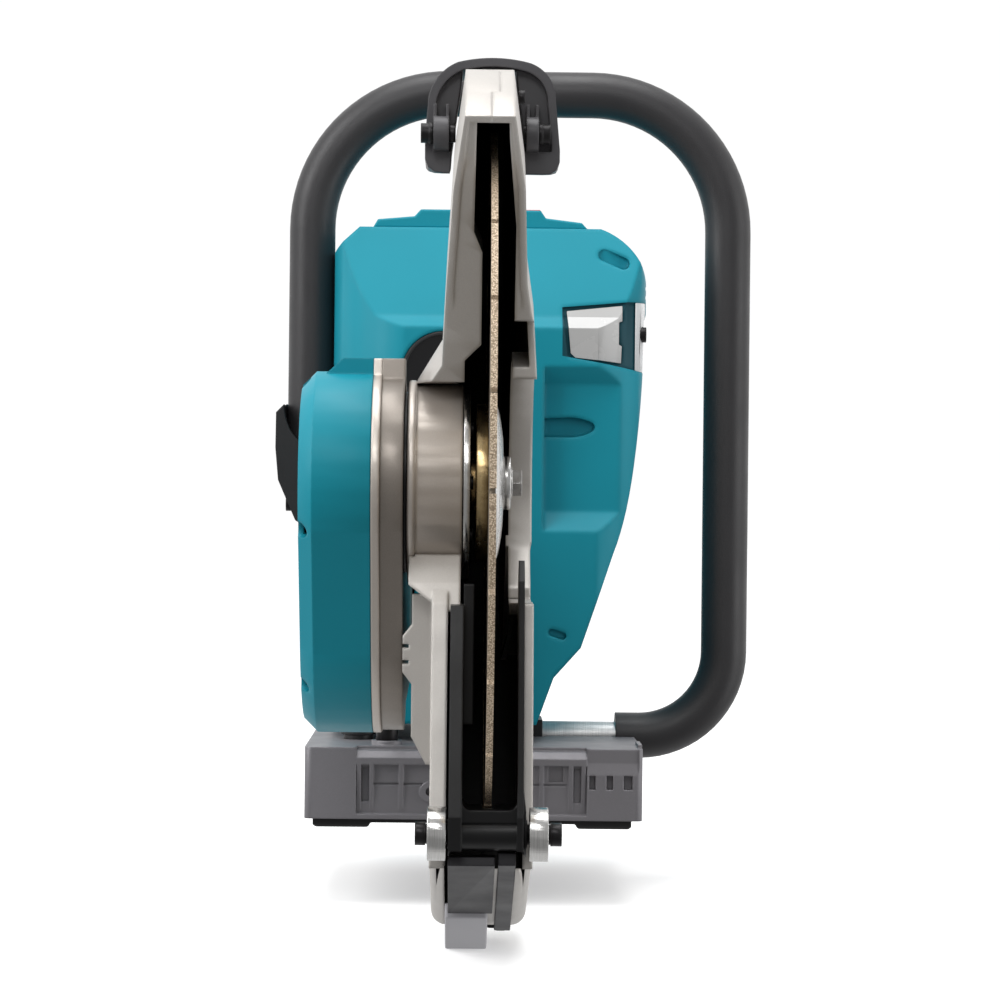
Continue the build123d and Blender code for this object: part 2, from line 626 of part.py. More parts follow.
LEVER_PLANE, LEVER_DEPTH = -10.0, 44.0
LEVER_BOLT = (-16.0, 176.3)        # (Y, Z) of the bolts through its lugs
LUG_LEFT, LUG_RIGHT = (-30.5, -22.7), (16.4, 22.6)


# (X, Z) round the hood's front and round its dish, clockwise: up the left side, three points on
# each of three arcs over the top, and down the right side
HOOD_FACE = (((-26, 157), (-30, 157.6), (-33.2, 160), (-34.8, 164), (-34.9, 174), (-33.4, 195)),
             ((-33.4, 195), (-27.8, 206.6), (-18.4, 213.3), (1, 215.5), (17.5, 213.3), (27.3, 206.6),
              (31.3, 194.5)),
             ((31.3, 194.5), (33.6, 169), (33.6, 163), (32, 159), (29, 156.8), (25, 156.6)))
HOOD_DISH = (((-26, 168), (-30.2, 168), (-30.6, 170), (-30.5, 174), (-29.2, 194)),
             ((-29.2, 194), (-24.6, 203.2), (-16.8, 208.9), (1, 211.2), (16, 208.9), (24.2, 203.2),
              (27.2, 193.5)),
             ((27.2, 193.5), (29.4, 171), (29.4, 169), (29, 168)))


def hood_outline(y, rising, crown, falling):
    with BuildSketch(front(y)) as outline:
        with BuildLine():
            Polyline(*rising)
            for k in (0, 2, 4):
                ThreePointArc(crown[k], crown[k + 1], crown[k + 2])
            Polyline(*falling, rising[0])
        make_face()
    return outline.sketch


def guard_handle():
    """Dished hood over the guard's rim, bolted through a lug on each side."""
    y, z = LEVER_BOLT
    dish = 6.0
    with BuildPart() as hood:
        extrude(hood_outline(LEVER_PLANE + LEVER_DEPTH, *HOOD_FACE), amount=LEVER_DEPTH)
        extrude(hood_outline(LEVER_PLANE + dish, *HOOD_DISH), amount=dish + 1, mode=Mode.SUBTRACT)
        # the underside rises towards the rear
        prism(side(-40), [(-7, 150), (-7, 156.8), (40, 164.5), (40, 150)], 80, mode=Mode.SUBTRACT)
        for x0, x1 in (LUG_LEFT, LUG_RIGHT):
            disc(x0, x1, 8.6, LEVER_BOLT)
            block(x0, x1, y, LEVER_PLANE + dish, z - 8.6, z + 8.6)
            for rib_x in (x0, x1 - 1.6):
                block(rib_x, rib_x + 1.6, y + 1, LEVER_PLANE + dish, z + 6, z + 15)
        # slot for the guard
        prism(front(60), [(-16.2, GUARD_R + 0.6), (-21.4, 170), (-22.6, 150), (16.2, 150),
                          (15.8, 170), (11.4, GUARD_R + 0.6)], 100, mode=Mode.SUBTRACT)
        disc(-40, -20, 3.1, LEVER_BOLT, mode=Mode.SUBTRACT)
        disc(10, 40, 3.1, LEVER_BOLT, mode=Mode.SUBTRACT)
    save(hood, "guard_handle")


# ---------------------------------------------------------------- main housing
BAY = (-66.0, 57.0, 347.0, 435.0)          # X0, X1, Y0, Y1 of the battery bay
BAY_FLOOR = 18.0
COVER_Y0, COVER_Y1 = 338.0, 444.0
COVER_HINGE = (449.0, 161.0)
LATCH_HINGE = (360.0, 164.5)
LAMP = (-26.0, 66.0)                        # (X, Z) of the work lamp
LAMP_R = 25.0
PANEL_REAR = 301.0                          # the panel's recess ends here on the side
PANEL_RECESS = [(44.2, 106.9), (88, 110.8), (100, 112), (100, 67.6), (87.5, 70), (47.4, 76.8)]
PANEL_FACE = [(46.9, 104.6), (80.2, 108.2), (80.2, 98.8), (78.2, 98), (78.2, 84.8), (80, 84),
              (79.6, 73.6), (52, 76.4), (49.2, 79)]
PANEL_STRIP = [(88.4, 110.6), (100, 111.8), (100, 67.8), (88.4, 70)]
RECESS_Y = 271.0                            # floor of the wide step in the front's right half
TOP_PROFILE = [(-70, 156.2), (-67.2, 161), (-45, 163), (-41.2, 167.2), (31.5, 167.2), (34.6, 162.6),
               (56.4, 160), (60, 156.2)]
PANEL_DEPTH = 1.4
KNOB = (293.0, 92.0)


def housing_solid(inset):
    """Meeting of the housing's front, side and plan outlines, all drawn in by inset."""
    r = inset
    with BuildPart() as solid:
        with BuildSketch(front(BODY_REAR - r)):
            with BuildLine():
                Polyline((31 - r, BODY_LOW + r), (-93.5 + r, BODY_LOW + r), (-93.5 + r, 141 - r),
                         (-78 + r, BODY_TOP - r), (68 - r, BODY_TOP - r))
                ThreePointArc((68 - r, BODY_TOP - r), (88 - r, 141 - r), (94.5 - r, 100))
                Spline((94.5 - r, 100), (89.5 - r, 20), (76 - r, -40), tangents=((0, -1), (-0.4, -1)))
                Polyline((76 - r, -40), (57 - r, -96), (41 - r, -114), (31 - r, BODY_LOW + r))
            make_face()
        extrude(amount=BODY_REAR - BODY_FRONT - 2 * r)
        with BuildSketch(side(-120)):
            with BuildLine():
                Polyline((BODY_FRONT + r, BODY_LOW + r), (BODY_FRONT + r, 94), (270 + r, 101),
                         (298 + r, BODY_TOP - r), (440 - r, BODY_TOP - r), (BODY_REAR - r, 122 - r),
                         (BODY_REAR - r, BODY_LOW + r), (BODY_FRONT + r, BODY_LOW + r))
            make_face()
        extrude(amount=240, mode=Mode.INTERSECT)
        with BuildSketch(Plane.XY.offset(-150)):
            with BuildLine():
                Polyline((-50 + r, BODY_FRONT + r), (66 - r, BODY_FRONT + r))
                ThreePointArc((66 - r, BODY_FRONT + r), (86 - r, 278), (96 - r, 312))
                Polyline((96 - r, 312), (96 - r, BODY_REAR - r), (-93.5 + r, BODY_REAR - r),
                         (-93.5 + r, 316))
                ThreePointArc((-93.5 + r, 316), (-80 + r, 281), (-50 + r, BODY_FRONT + r))
            make_face()
        extrude(amount=320, mode=Mode.INTERSECT)
    return solid.part


def panel_layer(outer, inner, outline):
    """Layer of the housing's skin between two depths, inside an outline of the front view."""
    with BuildPart() as layer:
        add(housing_solid(outer))
        add(housing_solid(inner), mode=Mode.SUBTRACT)
        prism(front(PANEL_REAR), outline, 60, mode=Mode.INTERSECT)
    return layer.part


def bullet_mouth(y):
    """Outline with a square left end and a rounded point at its right end."""
    with BuildSketch(front(y)) as mouth:
        with BuildLine():
            Polyline((50, 29.2), (34, 29.4), (34, 40.4), (50, 41.2))
            Spline((50, 41.2), (60, 39.3), (64.5, 35.6), tangents=((1, 0), (0.2, -1)))
            Spline((64.5, 35.6), (59, 31), (50, 29.2), tangents=((-0.2, -1), (-1, 0)))
        make_face()
    return mouth.sketch


def slot_mouth(y, x, z, length, width, turn):
    with BuildSketch(front(y)) as mouth:
        with Locations((x, z)):
            SlotOverall(length, width, rotation=turn)
    return mouth.sketch


def housing():
    """The two halves of the housing, and the panel set into its right front corner."""
    outer, inner = housing_solid(0), housing_solid(SHELL)
    with BuildPart() as recess_wall:
        prism(side(31), [(261, 76), (274, 63), (274, -17), (261, -31)], 60)
        add(outer, mode=Mode.INTERSECT)
    # blind recesses in the front: (X, Z, Y of the surface, depth)
    recesses = ((49, 35, RECESS_Y, 6.0), (75.6, 137, 287, 5.0), (43, -88, BODY_FRONT, 3.0))
    with BuildPart() as pads:
        for x, z, y, depth in recesses:
            block(x - 17, x + 17, y, y + depth + 2, z - 7, z + 7)
        add(outer, mode=Mode.INTERSECT)
    bullet, screw_well, drain = [y + depth for x, z, y, depth in recesses]
    with BuildPart() as shell:
        add(outer)
        add(inner, mode=Mode.SUBTRACT)
        add(recess_wall.part)
        add(pads.part)
        prism(side(34), [(250, 73), (262, 71), (271, 61), (271, -15), (262, -27), (250, -30)], 60,
              mode=Mode.SUBTRACT)
        block(*BAY, 120, 170, mode=Mode.SUBTRACT)
        with BuildSketch(front(BODY_FRONT + 40)) as lamp_hole:
            with Locations(LAMP):
                Circle(LAMP_R + 0.5)
        extrude(lamp_hole.sketch, amount=60, mode=Mode.SUBTRACT)
        add(panel_layer(0, PANEL_DEPTH, PANEL_RECESS), mode=Mode.SUBTRACT)
        prism(front(PANEL_REAR), PANEL_FACE, 60, mode=Mode.SUBTRACT)
        disc(80, 100, 4.7, KNOB, mode=Mode.SUBTRACT)
        extrude(bullet_mouth(bullet), amount=60, mode=Mode.SUBTRACT)
        extrude(slot_mouth(screw_well, 75.6, 137, 20, 7.5, -24), amount=60, mode=Mode.SUBTRACT)
        extrude(slot_mouth(drain, 43, -88, 11, 4.5, -18), amount=60, mode=Mode.SUBTRACT)
        for z in (114, 119.5, 125):
            block(88, 100, 300, 330, z, z + 2.4, mode=Mode.SUBTRACT)
        block(-57, -42, 255, 340, -115, -14, mode=Mode.SUBTRACT)
        for x in (-48, 40):
            block(x - 4, x + 4, 446, 452, 140, COVER_HINGE[1])
            disc(x - 4, x + 4, 4.4, COVER_HINGE)
            disc(x - 4, x + 4, 2.0, COVER_HINGE, mode=Mode.SUBTRACT)
    for name, x0 in (("housing_left", 0.0), ("housing_right", -150.0)):
        with BuildPart() as half:
            add(shell.part)
            block(x0, x0 + 150, 200, 600, -200, 200, mode=Mode.SUBTRACT)
        save(half, name)

    with BuildPart() as panel:
        add(panel_layer(0.7, SHELL, PANEL_FACE))
        add(panel_layer(0.2, PANEL_DEPTH, PANEL_STRIP))
        disc(80, 100, 4.7, KNOB, mode=Mode.SUBTRACT)
    save(panel, "side_panel")


def lamp():
    with BuildPart() as rim:
        with BuildSketch(front(BODY_FRONT + 12)):
            with Locations(LAMP):
                Circle(LAMP_R)
        extrude(amount=12.8)
        with BuildSketch(front(BODY_FRONT + 8)):
            with Locations(LAMP):
                Circle(LAMP_R - 2)
        extrude(amount=12, mode=Mode.SUBTRACT)
    save(rim, "lamp_housing")
    with BuildPart() as lens:
        with BuildSketch(front(BODY_FRONT + 3)):
            with Locations(LAMP):
                Circle(LAMP_R - 2)
        extrude(amount=2.6)
    save(lens, "lamp_lens")


def top_parts():
    """Fixed trim, hinged cover with its latch, and the power button."""
    button = (20.0, 32.0, 310.0, 322.0)
    x0, x1, y0, y1 = button
    with BuildPart() as trim:
        prism(front(COVER_Y0 - 0.6), TOP_PROFILE, COVER_Y0 - 0.6 - 301)
        block(x0 - 0.4, x1 + 0.4, y0 - 0.4, y1 + 0.4, 158, 170, mode=Mode.SUBTRACT)
    save(trim, "top_trim")

    with BuildPart() as cap:
        block(x0, x1, y0, y1, 161.5, 168.4)
        chamfer(cap.faces().sort_by(Axis.Z)[-1].edges(), 0.8)
    save(cap, "power_button")

    y, z = COVER_HINGE
    with BuildPart() as cover:
        prism(front(COVER_Y1), TOP_PROFILE, COVER_Y1 - COVER_Y0)
        for rib in range(5):
            block(-38 + 16 * rib, -34 + 16 * rib, COVER_Y0 + 34, COVER_Y1 - 8, 166, 168.6)
        block(BAY[0] + 3, BAY[1] - 3, BAY[2] + 3, BAY[3] - 3, 150, 158.5, mode=Mode.SUBTRACT)
        block(-43, 35, COVER_Y1 - 2, y, 158, 163)
        disc(-43, 35, 4.4, COVER_HINGE)
        disc(-43, 35, 2.1, COVER_HINGE, mode=Mode.SUBTRACT)
        block(-14, 14, COVER_Y0, LATCH_HINGE[0] + 4, 161.5, 170, mode=Mode.SUBTRACT)
        disc(-16, 16, 1.5, LATCH_HINGE)
    save(cover, "battery_cover")

    with BuildPart() as latch:
        block(-13, 13, COVER_Y0 + 0.6, LATCH_HINGE[0], 162, 167)
        disc(-13, 13, 2.5, LATCH_HINGE)
        for groove in range(3):
            block(-9, 9, 342 + 4 * groove, 344 + 4 * groove, 166.2, 168, mode=Mode.SUBTRACT)
        disc(-13, 13, 1.6, LATCH_HINGE, mode=Mode.SUBTRACT)
    save(latch, "cover_latch")


def power_unit():
    """Battery cradle, two packs, their terminal block and the control board."""
    x0, x1, y0, y1 = BAY
    wall = 1.5
    with BuildPart() as cradle:
        block(x0, x1, y0, y1, BAY_FLOOR, BODY_TOP)
        block(x0 + wall, x1 - wall, y0 + wall, y1 - wall, BAY_FLOOR + 2, BODY_TOP + 9,
              mode=Mode.SUBTRACT)
    save(cradle, "battery_cradle")

    pack_w = 58.0
    for name, px in (("battery_left", x0 + wall + 0.4), ("battery_right", x1 - wall - 0.4 - pack_w)):
        with BuildPart() as pack:
            block(px, px + pack_w, y0 + 2.2, y1 - 2.2, 34, 146)
            chamfer(pack.edges().filter_by(Axis.Z), 4)
            block(px + 6, px + pack_w - 6, y0 + 8, y1 - 8, 146, 149)
            block(px + 10, px + 14, y0 + 14, y1 - 14, 28, 34)
            block(px + pack_w - 14, px + pack_w - 10, y0 + 14, y1 - 14, 28, 34)
            block(px + 18, px + pack_w - 18, y0 + 12, y0 + 26, 148, 152)
        save(pack, name)

    with BuildPart() as terminals:
        block(x0 + 4, x1 - 4, y0 + 4, y1 - 4, BAY_FLOOR + 2, 27)
        for px in (-44, -36, -28, 18, 26, 34):
            block(px - 0.6, px + 0.6, 370, 392, 27, 33.8)
    save(terminals, "terminal_block")

    with BuildPart() as board:
        block(-60, 24, 336, 436, -62, -60)
        for chip in range(6):
            block(-54 + 12 * chip, -46 + 12 * chip, 340, 350, -60, -46)
        for can in range(3):
            post(-60, -30, 9, -40 + 24 * can, 362)
        block(-56, 20, 376, 424, -60, -52)
        for fin in range(12):
            block(-54 + 6 * fin, -52 + 6 * fin, 378, 422, -52, -38)
    save(board, "control_board")


# ---------------------------------------------------------------- front handle
BRACKET_TOP, SOCKET_LOW = 49.0, 24.0        # Z of the bracket's top and of its socket's floor
GRIP_END = 81.0                    # X where the grip ends on the lower tube
TUBE_START, TUBE_END = 0.0, 4.0    # Z of the left end and X of the lower end
BRACKET_BOLTS = ((HANDLE_Y - 12, -12), (HANDLE_Y + 12, -12))       # (Y, Z)
CLAMP_BOLTS = ((-6, 330), (28, 316), (28, 344))                    # (X, Y)


def handle_path(start_z, end_x):
    """Centre line up the left leg from start_z, over the top and round to end_x at the bottom."""
    left, right, top, low = HANDLE_LEFT, HANDLE_RIGHT, HANDLE_TOP, HANDLE_LOW
    with BuildLine(front(HANDLE_Y)) as path:
        Line((left, start_z), (left, top - CORNER_TOP))
        RadiusArc((left, top - CORNER_TOP), (left + CORNER_TOP, top), CORNER_TOP)
        Line((left + CORNER_TOP, top), (right - CORNER_TOP, top))
        RadiusArc((right - CORNER_TOP, top), (right, top - CORNER_TOP), CORNER_TOP)
        Line((right, top - CORNER_TOP), (right, low + CORNER_LOW))
        RadiusArc((right, low + CORNER_LOW), (right - CORNER_LOW, low), CORNER_LOW)
        Line((right - CORNER_LOW, low), (end_x, low))
    return path.wire()


def front_handle():
    for name, outer, inner, start, end in (
        ("front_handle_tube", TUBE_R, TUBE_R - TUBE_WALL, TUBE_START, TUBE_END),
        ("front_handle_grip", GRIP_R, TUBE_R, SOCKET_LOW, GRIP_END),
    ):
        path = handle_path(start, end)
        with BuildPart() as piece:
            with BuildSketch(Plane(origin=path @ 0, z_dir=path % 0)):
                Circle(outer)
                Circle(inner, mode=Mode.SUBTRACT)
            sweep(path=path)
        save(piece, name)

    outline = [(-122.9, BRACKET_TOP), (-93.5, BRACKET_TOP), (-93.5, -30), (-104, -30),
               (-116, -22.2), (-126.7, 2.3), (BRACKET_X, 22), (-128.3, 43.5)]
    with BuildPart() as bracket:
        prism(front(HANDLE_Y + 19), outline, 38)
        post(TUBE_START, BRACKET_TOP, TUBE_R, HANDLE_LEFT, HANDLE_Y, mode=Mode.SUBTRACT)
        post(SOCKET_LOW, BRACKET_TOP, GRIP_R + 1, HANDLE_LEFT, HANDLE_Y, mode=Mode.SUBTRACT)
        with BuildSketch(front(HANDLE_Y)) as window:
            with Locations((HANDLE_LEFT + 1, BRACKET_TOP)):
                Ellipse(GRIP_R + 2.5, BRACKET_TOP - SOCKET_LOW)
        extrude(window.sketch, amount=20, mode=Mode.SUBTRACT)
        for centre in BRACKET_BOLTS:
            disc(-130, -93.5, 2.5, centre, mode=Mode.SUBTRACT)
            disc(-130, -117, 5.0, centre, mode=Mode.SUBTRACT)
    save(bracket, "handle_bracket")

    with BuildPart() as clamp:
        block(-14, 36, 312.5, 347.5, -166, -142.4)
        disc(TUBE_END, 36, TUBE_R, (HANDLE_Y, HANDLE_LOW), mode=Mode.SUBTRACT)
        for x, y in CLAMP_BOLTS:
            post(-166, -147, 2.0, x, y, mode=Mode.SUBTRACT)
    save(clamp, "handle_clamp")


# ---------------------------------------------------------------- base
SILL_X = (-74.0, 59.6)             # stretch between the base's two front corner blocks
SILL_TOP, SILL_EDGE, SILL_LOW = -154.6, -158.5, -162.4
WINDOW_DEPTH = 5.2                 # blind windows and slots in the base's face
BASE_BOLT, BOSS_H = (-57.0, 240.0), 2.5     # (X, Y) of the boss on the base, and its height
RIBS = ((-72.4, 2.5), (-65.2, 2.4), (-48, 2.8), (33.4, 2.5), (50.4, 2.8), (57.7, 2.6))  # (X, width)


def base():
    x0, x1, y0, y1, z0, z1 = BASE_X0, BASE_X1, BASE_Y0, BASE_Y1, BASE_Z0, BASE_Z1
    wall, roof, face_depth = 4.0, 5.0, 3.0
    sill = SILL_X[1] - SILL_X[0]
    with BuildPart() as frame:
        block(x0, x1, y0, y1, z0, z1)
        fillet(frame.edges().filter_by(Axis.Z), 4)
        # lower sill with a sloped edge, above the ribbed face between the corner blocks
        prism(side(SILL_X[0]), [(y0 - 1, z1 + 1), (y0 - 1, SILL_EDGE), (y0, SILL_EDGE), (y0 + 4, SILL_TOP),
                                (y0 + 12, SILL_TOP), (y0 + 12, z1 + 1)], sill, mode=Mode.SUBTRACT)
        block(*SILL_X, y0 - 1, y0 + face_depth, z0 + 3, SILL_LOW, mode=Mode.SUBTRACT)
        block(SILL_X[0] + 8, 48, y0, y0 + face_depth + 0.8, -174.2, -173.2, mode=Mode.SUBTRACT)
        for x, w in RIBS:
            prism(side(x - w / 2), [(y0, SILL_LOW), (y0 + face_depth, SILL_LOW),
                                    (y0 + face_depth, -190.5)], w)
        # stepped face of the right corner block
        prism(side(SILL_X[1]), [(y0 - 1, z1 + 1), (y0 - 1, -167.6), (y0, -167.6), (y0 + 1.4, -160.5),
                                (y0 + 1.4, z1 + 1)], 30, mode=Mode.SUBTRACT)
        block(x0 + wall, x1 - wall, y0 + wall + 2, y1 - wall, z0, z1 - roof, mode=Mode.SUBTRACT)
        for y in (262, 300, 360, 400):
            block(x0 + wall, x1 - wall, y - 1.5, y + 1.5, z0 + 24, z1 - roof)
        for x in (-60, 10, 50):
            block(x - 1.5, x + 1.5, y0 + wall, y1 - wall, z0 + 24, z1 - roof)
        # seat of the handle's clamp and a groove for its tube
        block(-18, x1, 309, 351, -172, -158)
        block(-14, 37, 312.5, 347.5, -166, -150, mode=Mode.SUBTRACT)
        block(36, x1 + 1, 318, 342, -164, -150, mode=Mode.SUBTRACT)
        block(79, x1 + 1, 314, 346, -168, -150, mode=Mode.SUBTRACT)
        for x, y in CLAMP_BOLTS:
            post(-172, -166, 2.0, x, y, mode=Mode.SUBTRACT)
        # windows, narrow slots, a drilled pad, a fin and a bolt boss
        for wx0, wx1, low, high in ((24.5, 28.6, -171.8, -162.6), (37.4, 45.8, -171.8, -162.6),
                                    (61, 64.6, -175.8, -167.8), (71, 74.7, -175.8, -167.8),
                                    (81, 86, -175.8, -167.8), (-71, -66.6, -184, -164),
                                    (52.2, 56.2, -184, -164)):
            block(wx0, wx1, y0 - 1, y0 + WINDOW_DEPTH, low, high, mode=Mode.SUBTRACT)
        with BuildSketch(front(y0 + WINDOW_DEPTH)) as pad:
            with Locations((-31.4, -178)):
                Circle(6.0)
        extrude(pad.sketch, amount=WINDOW_DEPTH - 0.6)
        with BuildSketch(front(y0 + WINDOW_DEPTH)) as hole:
            with Locations((-31.4, -178)):
                Circle(2.4)
        extrude(hole.sketch, amount=12, mode=Mode.SUBTRACT)
        block(89.6, x1, y0 + 11, y0 + 40, z1 - 1, z1 + 2)
        post(z1 - 1, z1 + BOSS_H, 9, *BASE_BOLT)
    save(frame, "base_frame")

    with BuildPart() as feet:
        for y in (y0 + 6, y1 - 44):
            for fx0, fx1 in ((-99.3, -66), (53.6, 86)):
                block(fx0, fx1, y, y + 38, FOOT_LOW, z0)
        chamfer(feet.faces().filter_by(Axis.Z).group_by(Axis.Z)[0].edges(), 1.5)
        block(-66, 53.6, y0 + 6, y0 + 20, z0 - 2.6, z0)
    save(feet, "rubber_feet")

    with BuildPart() as dampers:
        for x in (-75, 12):
            for y in (282, 420):
                post(z1, BODY_LOW, 9, x, y)
                post(z1 + 3, BODY_LOW - 3, 11, x, y)
    save(dampers, "vibration_dampers")


# ---------------------------------------------------------------- rear handle
TRIGGER_PIN, LOCK_PIN = (503.0, 72.0), (577.0, 78.0)


def rear_handle():
    y = BODY_REAR
    for name, x0 in (("rear_handle_left", -REAR_X), ("rear_handle_right", 0.0)):
        outer_face = 0 if x0 < 0 else -1
        with BuildPart() as half:
            with BuildSketch(side(x0)):
                with BuildLine():
                    Polyline((y, 104), (520, 99), (582, 89))
                    Spline((582, 89), (600, 79), (REAR_END, 58), tangents=((1, -0.16), (0, -1)))
                    Polyline((REAR_END, 58), (602, -74))
                    Spline((602, -74), (588, -118), (552, -138), tangents=((0, -1), (-1, 0)))
                    Polyline((552, -138), (y, -138), (y, 104))
                make_face()
                with BuildLine():
                    Polyline((494, 62), (572, 52))
                    Spline((572, 52), (580, 48), (583, 38), tangents=((1, -0.12), (0, -1)))
                    Polyline((583, 38), (580, -70))
                    Spline((580, -70), (570, -98), (548, -106), tangents=((0, -1), (-1, 0)))
                    Polyline((548, -106), (494, -106), (494, 62))
                make_face(mode=Mode.SUBTRACT)
            extrude(amount=REAR_X)
            chamfer(half.faces().sort_by(Axis.X)[outer_face].edges().filter_by(
                lambda e: e.center().Y > y + 2), 5)
            prism(side(-12), [(y + 4, 96), (575, 82), (592, 70), (590, 58), (y + 4, 68)], 24,
                  mode=Mode.SUBTRACT)
            block(-7, 7, 500, 546, 48, 70, mode=Mode.SUBTRACT)
            block(-6, 6, 543, 581, 76, 100, mode=Mode.SUBTRACT)
            for pin in (TRIGGER_PIN, LOCK_PIN):
                disc(-14, 14, 2.0, pin, mode=Mode.SUBTRACT)
        save(half, name)

    with BuildPart() as trigger:
        with BuildSketch(side(-6)):
            with BuildLine():
                Polyline((500, 77), (544, 71), (543.5, 58))
                Spline((543.5, 58), (536, 49), (520, 47), (502, 58), tangents=((-0.2, -1), (-0.4, 1)))
                Polyline((502, 58), (500, 77))
            make_face()
        extrude(amount=12)
        disc(-6, 6, 2.1, TRIGGER_PIN, mode=Mode.SUBTRACT)
    save(trigger, "trigger")

    with BuildPart() as lock:
        prism(side(-5), [(546, 84), (545, 96.5), (550, 98), (566, 95), (580, 84), (580, 74),
                         (573, 74), (565, 80)], 10)
        disc(-5, 5, 2.1, LOCK_PIN, mode=Mode.SUBTRACT)
    save(lock, "lock_off_lever")

    with BuildPart() as switch:
        block(-11, 11, 550, 570, 63, 72)
        block(-3, 3, 547.5, 550, 65, 69)
    save(switch, "switch_module")


# ---------------------------------------------------------------- fasteners and pins
REAR_SCREWS = ((-84, 112), (78, 112), (-84, -124), (24, -124))     # (X, Z)


def fasteners():
    """Screws of the fixed pieces, and the pins that the cover, trigger and lock-off turn on."""
    with BuildPart() as screws:
        for i in range(6):
            centre = polar(31, 90 - 60 * i)
            disc(BOSS_X1 - 8, -10.3, 2.0, centre)
            disc(-10.3, -8.6, 3.4, centre)
            hexagon(-9.4, -8.6, 2.6, centre, mode=Mode.SUBTRACT)
        for centre in COVER_SCREWS:
            cap_screw(POD_X0 + 5, POD_X0 + 9, 3.8, centre, 2.0, PLATE_X1)
        for centre in BRACKET_BOLTS:
            cap_screw(-122, -117, 4.6, centre, 2.5, -93.5)
        for x, z in REAR_SCREWS:
            with BuildSketch(front(BODY_REAR + 3)) as head:
                with Locations((x, z)):
                    Circle(4)
            extrude(head.sketch, amount=3)
        for x, y in CLAMP_BOLTS:
            post(-172, -147, 2.0, x, y)
            post(-176, -172, 4.0, x, y)
        post(BASE_Z1 + BOSS_H, BASE_Z1 + BOSS_H + 7, 6.5, *BASE_BOLT)
        disc(84, 95.6, 4.6, KNOB)
    save(screws, "fasteners")

    with BuildPart() as pins:
        disc(-52, 44, 2.0, COVER_HINGE)
        for pin in (TRIGGER_PIN, LOCK_PIN):
            disc(-14, 14, 2.0, pin)
    save(pins, "hinge_pins")


def build():
    os.makedirs("parts", exist_ok=True)
    for make in (wheel, flanges_and_bolt, spindle_and_gear, rotor, stator, gear_case, motor_cover,
                 guard_hub, roller_bracket, guard_trim, guard_handle, guard_fasteners, housing,
                 lamp, top_parts, power_unit, front_handle, base, rear_handle, fasteners):
        make()
    guard_half(left=True)
    guard_half(left=False)


build()
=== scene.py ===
"""Battery power cutter, seen from the front with its wheel guard swung back."""

import math

import bmesh
import bpy
from mathutils import Matrix, Vector


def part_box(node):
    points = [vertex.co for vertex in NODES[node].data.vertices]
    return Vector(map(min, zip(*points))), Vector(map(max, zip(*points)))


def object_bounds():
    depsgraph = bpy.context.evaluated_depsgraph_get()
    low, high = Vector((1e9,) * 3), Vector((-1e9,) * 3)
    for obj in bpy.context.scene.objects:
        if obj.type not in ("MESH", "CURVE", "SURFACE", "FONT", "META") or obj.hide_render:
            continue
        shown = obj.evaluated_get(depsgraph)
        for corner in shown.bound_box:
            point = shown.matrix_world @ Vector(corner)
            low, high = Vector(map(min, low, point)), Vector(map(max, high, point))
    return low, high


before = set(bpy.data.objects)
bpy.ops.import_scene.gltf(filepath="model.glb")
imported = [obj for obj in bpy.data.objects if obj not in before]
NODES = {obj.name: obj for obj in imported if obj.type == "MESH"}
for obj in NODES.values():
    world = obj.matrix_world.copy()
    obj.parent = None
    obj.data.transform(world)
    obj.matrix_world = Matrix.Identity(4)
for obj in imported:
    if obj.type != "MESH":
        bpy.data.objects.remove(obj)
cad_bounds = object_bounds()
MM = 0.001


def box_centre(node):
    low, high = (Vector(corner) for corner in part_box(node))
    return (low + high) / 2


SPINDLE = box_centre("wheel_segments")      # the wheel's centre: every offset below starts here


def at(x, y, z):
    """Point given in millimetres from the wheel's centre."""
    return SPINDLE + Vector((x, y, z)) * MM


# ---------------------------------------------------------------- colours
def srgb(r, g, b):
    """Linear colour of an 8-bit display colour."""
    def linear(value):
        value /= 255
        return value / 12.92 if value <= 0.04045 else ((value + 0.055) / 1.055) ** 2.4
    return (linear(r), linear(g), linear(b), 1.0)


def scaled(colour, factor):
    return tuple(min(1.0, part * factor) for part in colour[:3]) + (1.0,)


def neutral(level):
    return (level, level, level, 1.0)


TEAL = (0.006, 0.25, 0.33, 1)
# Darker teal painted in the side panel's recess as shade.
RECESS_SHADE_TEAL = (0.004, 0.055, 0.075, 1)
SILVER = srgb(193, 189, 184)
GUARD_BLACK = srgb(28, 27, 27)


# ---------------------------------------------------------------- node trees
NOISE_LOW, NOISE_HIGH = 0.3, 0.7            # nearly all of a noise lies between these two
MIX_FACTOR, MIX_A, MIX_B, MIX_RESULT = 0, 6, 7, 2       # colour sockets of a mix node
EDGE_HIGHLIGHT_WIDTH = 0.0012                          # width of an edge's painted highlight, in metres
